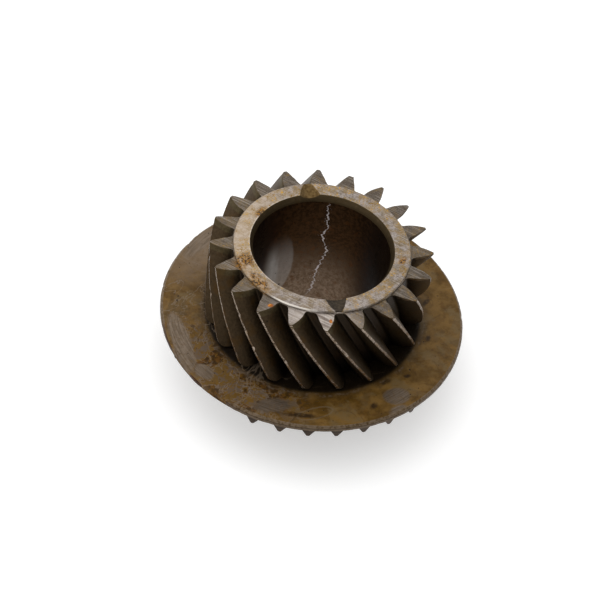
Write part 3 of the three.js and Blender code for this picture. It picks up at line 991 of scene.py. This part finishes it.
def disc_varnish():
    """Ochre varnish baked on the disc, worn through to mauve grey steel, rusty at its rim."""
    s = Surface("disc_varnish", specular=0.1)
    mottle = s.noise(6, 4, 0.55)
    fine = s.noise(1.2, 5, 0.65)
    busy = s.spot(*DISC_DEPOSITS)
    color = s.mix(s.step(mottle, 0.36, 0.64), shade(86, 61, 18), shade(116, 87, 42))
    color = s.mix(s.step(fine, 0.5, 0.75, 0, 0.35), color, shade(70, 50, 20))
    hazy = s.both(s.step(s.noise(13, 4, 0.6, 0.5), 0.5, 0.62), s.step(fine, 0.3, 0.6, 0.5, 0.9))
    color = s.mix(hazy, color, shade(106, 86, 54))
    color = s.mix(s.math("MULTIPLY", busy, 0.7), color, shade(98, 71, 26))
    worn = s.both(busy, s.step(s.noise(4, 5, 0.65, 1.2), 0.46, 0.55))
    color = s.mix(s.math("MULTIPLY", worn, 0.85), color, shade(92, 79, 68))
    puddle = s.noise(8, 4, 0.6, 1.0)
    puddles = s.both(s.step(puddle, 0.5, 0.56), s.step(busy, 0, 1, 0.3, 0.95))
    puddle_color = s.mix(s.step(s.noise(2, 4), 0.45, 0.6), shade(54, 35, 8), shade(90, 58, 16))
    color = s.mix(puddles, color, puddle_color)
    shore = s.both(s.step(s.math("ABSOLUTE", s.math("SUBTRACT", puddle, 0.49)), 0.012, 0.004), busy)
    color = s.mix(s.math("MULTIPLY", shore, 0.6), color, shade(128, 114, 102))
    flecks = s.both(busy, s.step(s.noise(1.4, 4, 0.7, 0.6), 0.58, 0.63))
    color = s.mix(flecks, color, shade(112, 80, 26))

    ragged_radius = s.math("MULTIPLY_ADD", mottle, 5, s.radius)
    # painted shade: darker brown round the gear's foot, and nearly black under and between its teeth
    color = s.mix(s.step(ragged_radius, 52, 48, 0, 0.6), color, shade(56, 43, 25))
    color = s.mix(s.step(s.radius, 46, 44.2, 0, 0.92), color, shade(14, 10, 6))
    haze = s.both(s.spot(*DISC_HAZE), s.step(fine, 0.3, 0.6, 0.5, 0.9))
    color = s.mix(haze, color, shade(120, 101, 80))
    broken = s.both(s.step(fine, 0.42, 0.6, 0, 0.45), s.step(s.noise(7, 2), 0.4, 0.56))
    deposit = s.both(s.step(ragged_radius, 48, 48.6), s.step(ragged_radius, 49.8, 48.8), broken)
    color = s.mix(deposit, color, shade(116, 101, 88))
    pale = s.math("ABSOLUTE", s.math("SUBTRACT", s.noise(17, 3.5, 0.6, 1.0), 0.5))
    on_left = s.step(s.axes[0], 4, -26, 0.03, 0.5)
    color = s.mix(s.both(s.step(pale, 0.012, 0.004), on_left), color, shade(126, 110, 92))

    bare = s.both(s.spots(DISC_BARE_PLACES), s.step(fine, 0.7, 0.45, 0.55, 1))
    lines = s.noise(0.5, 2, at=s.node("CombineXYZ", {0: s.radius, 1: s.math("MULTIPLY", s.angle, 3)}))
    steel = s.mix(s.step(lines, 0.4, 0.62), shade(112, 98, 84), shade(92, 79, 65))
    color = s.mix(bare, color, steel)
    scraped = s.both(s.spot(*SCRAPE), s.step(s.spot(*SCRAPE_INSIDE), 0, 1, 0.5, 0))
    color = s.mix(scraped, color, shade(112, 96, 74))
    scratches = s.step(s.streaks(22, 26, 0.24, 1), 0.69, 0.73, 0, 0.35)
    color = s.mix(scratches, color, shade(124, 108, 86))
    pits = s.step(s.noise(1.5, 3, 0.6), 0.67, 0.72)
    color = s.mix(pits, color, shade(30, 18, 8))
    dark_stains = s.both(s.spots(DISC_STAINS), s.step(fine, 0.3, 0.55, 0.4, 0.85))
    color = s.mix(dark_stains, color, shade(34, 21, 8))

    rusty = s.math("MULTIPLY", s.spot(*RUSTY_RIM), 0.9)
    rim_start = s.step(rusty, 0, 1, DISC_RADIUS - RIM_BEVEL - 0.2, DISC_RADIUS - 0.35)
    rim = s.math("GREATER_THAN", s.radius, rim_start)
    # painted light and shade on the rim: the bevel is a lighter copy of the wall's colour, and the corner
    # between them a painted shadow line; the pale specks are wear
    wall = s.mix(s.step(fine, 0.5, 0.7), shade(92, 78, 62), shade(70, 56, 40))
    painted_lit_slope = s.mix(s.step(fine, 0.45, 0.65), shade(112, 96, 78), shade(82, 65, 42))
    rim_wear_and_painted_light = s.mix(s.step(s.axes[2], DISC_TOP - RIM_BEVEL - 0.1, DISC_TOP - RIM_BEVEL + 0.1), wall, painted_lit_slope)
    rim_wear_and_painted_light = s.mix(s.step(s.noise(1.1, 4, 0.7), 0.69, 0.74, 0, 0.7), rim_wear_and_painted_light, shade(176, 160, 140))
    corner = s.math("ABSOLUTE", s.math("SUBTRACT", s.axes[2], DISC_TOP - RIM_BEVEL - 0.1))
    rim_wear_and_painted_light = s.mix(s.step(corner, 0.2, 0.05, 0, 0.85), rim_wear_and_painted_light, shade(40, 28, 18))
    rust = s.mix(s.step(fine, 0.4, 0.6), shade(38, 20, 9), shade(70, 42, 18))
    color = s.mix(rim, color, s.mix(rusty, rim_wear_and_painted_light, rust))
    metal = s.math("MULTIPLY", s.either(bare, s.math("MULTIPLY", rim, 0.8)), 0.6)
    hollow = s.math("ADD", pits, s.math("MULTIPLY", bare, 0.4))
    height = s.math("SUBTRACT", s.math("MULTIPLY", fine, 0.4), hollow)
    return s.finish(color, s.step(fine, 0.3, 0.7, 0.34, 0.54), height, 0.08, metal)


def plain_steel(name, light, dark, stain, low, high):
    """Oily machined steel with turning lines round the axis and stains."""
    s = Surface(name, metallic=0.85, specular=0.3)
    turning = s.noise(0.35, 2, at=s.node("CombineXYZ", {0: s.radius, 1: s.axes[2]}))
    mottle = s.noise(2, 5, 0.6, at=s.drawn_round)
    color = s.mix(s.step(mottle, 0.3, 0.8), light, dark)
    color = s.mix(s.step(turning, 0.45, 0.65, 0, 0.5), color, dark)
    color = s.mix(s.step(s.noise(5, 5, 0.6, 0.7), 0.56, 0.72, 0, 0.6), color, stain)
    height = s.math("ADD", s.math("MULTIPLY", turning, 0.5), s.math("MULTIPLY", mottle, 0.3))
    return s.finish(color, s.step(mottle, 0.3, 0.7, low, high), height, 0.04)


brown_stain = shade(84, 60, 28)
cone_colors = shade(168, 160, 148), shade(128, 116, 100), shade(112, 88, 52)
spring_colors = shade(78, 74, 72), shade(48, 44, 42), shade(66, 48, 30)
gear_materials = {
    "flank": flank_steel("flank_steel", shade(61, 49, 34), shade(82, 67, 49), shade(80, 58, 30)),
    "ground": ground_steel(),
    "tip": tip_steel(),
    "bevel": flank_steel("bevel_steel", shade(68, 58, 40), shade(90, 78, 56), shade(80, 60, 30)),
    "bore": bore_film(),
    "mouth": plain_steel("mouth_steel", shade(100, 84, 60), shade(80, 66, 44), shade(86, 66, 36), 0.36, 0.5),
    "notch": notch_steel(),
    "hub": plain_steel("hub_steel", shade(136, 126, 114), shade(92, 80, 66), brown_stain, 0.3, 0.48),
}
gear = pieces["helical_gear"][0].data
gear.materials.clear()
for zone in GEAR_ZONES:
    gear.materials.append(gear_materials[zone])
gear.polygons.foreach_set("material_index", gear_zones(gear))
other_materials = {
    "stop_disc": disc_varnish(),
    "dog_ring": plain_steel("dog_steel", shade(78, 66, 56), shade(50, 42, 34), brown_stain, 0.35, 0.55),
    "friction_cone": plain_steel("cone_steel", *cone_colors, 0.25, 0.42),
    "snap_ring": plain_steel("spring_steel", *spring_colors, 0.3, 0.45),
}
for node, material in other_materials.items():
    pieces[node][0].data.materials.clear()
    pieces[node][0].data.materials.append(material)


# ---------------------------------------------------------------- stage


def add_camera():
    """Camera at the photograph's viewing angle, aimed beside the thrust ring's centre."""
    elevation, roll = math.radians(46.93), math.radians(8.75)
    distance, right_shift, up_shift = 820.0, 7.5, 23.5
    back = Vector((0, -math.cos(elevation), math.sin(elevation)))
    right = Vector((1, 0, 0))
    up = right.cross(-back)
    rolled_right = math.cos(roll) * right + math.sin(roll) * up
    rolled_up = -math.sin(roll) * right + math.cos(roll) * up
    place = back * distance - rolled_right * right_shift - rolled_up * up_shift
    place += Vector((0, 0, TOP))
    camera = bpy.data.cameras.new("camera")
    camera.lens = 120.7
    camera.sensor_width = 36
    obj = bpy.data.objects.new("camera", camera)
    axes = Matrix((rolled_right, rolled_up, back)).transposed()
    obj.matrix_world = Matrix.Translation(place * MM) @ axes.to_4x4()
    bpy.context.scene.collection.objects.link(obj)
    bpy.context.scene.camera = obj


def floor_sheet():
    """White translucent sheet, faintly uneven and lit a little from below."""
    s = Surface("floor_sheet", specular=0.1)
    speckle = s.noise(3)
    s.shader.inputs["Emission Color"].default_value = (1, 1, 1, 1)
    s.shader.inputs["Emission Strength"].default_value = 0.42
    color = s.mix(speckle, (0.72, 0.72, 0.72, 1), (0.74, 0.74, 0.74, 1))
    return s.finish(color, s.step(speckle, 0, 1, 0.7, 0.8), speckle, 0.01)


def add_floor():
    half = 3.0
    mesh = bpy.data.meshes.new("floor")
    corners = [(-half, -half, 0), (half, -half, 0), (half, half, 0), (-half, half, 0)]
    mesh.from_pydata(corners, [], [(0, 1, 2, 3)])
    floor = bpy.data.objects.new("floor", mesh)
    bpy.context.scene.collection.objects.link(floor)
    mesh.materials.append(floor_sheet())


def add_softbox(name, place, size, power, target=(0, 0, 0.03)):
    light = bpy.data.lights.new(name, "AREA")
    light.shape = "RECTANGLE"
    light.size, light.size_y = size
    light.energy = power
    obj = bpy.data.objects.new(name, light)
    obj.location = place
    obj.rotation_euler = (Vector(target) - Vector(place)).to_track_quat("-Z", "Y").to_euler()
    bpy.context.scene.collection.objects.link(obj)


def add_studio_light():
    """White surroundings, brightest overhead and behind on the left, with one large soft light there."""
    world = bpy.data.worlds.new("studio")
    world.use_nodes = True
    tree = world.node_tree
    direction = tree.nodes.new("ShaderNodeTexCoord").outputs["Generated"]
    toward = tree.nodes.new("ShaderNodeVectorMath")
    toward.operation = "DOT_PRODUCT"
    toward.inputs[1].default_value = Vector((-0.5, 0.55, 0.67)).normalized()
    tree.links.new(direction, toward.inputs[0])
    strength = tree.nodes.new("ShaderNodeMapRange")
    for socket, value in zip(("From Min", "From Max", "To Min", "To Max"), (-0.5, 0.9, 0.42, 1.2)):
        strength.inputs[socket].default_value = value
    tree.links.new(toward.outputs["Value"], strength.inputs["Value"])
    tree.links.new(strength.outputs["Result"], tree.nodes["Background"].inputs["Strength"])
    tree.nodes["Background"].inputs["Color"].default_value = (1, 1, 1, 1)
    bpy.context.scene.world = world
    add_softbox("overhead", (-0.4, 0.5, 1.2), (1.5, 1.5), 4)


add_camera()
add_floor()
add_studio_light()
bpy.context.scene.view_settings.view_transform = "Standard"
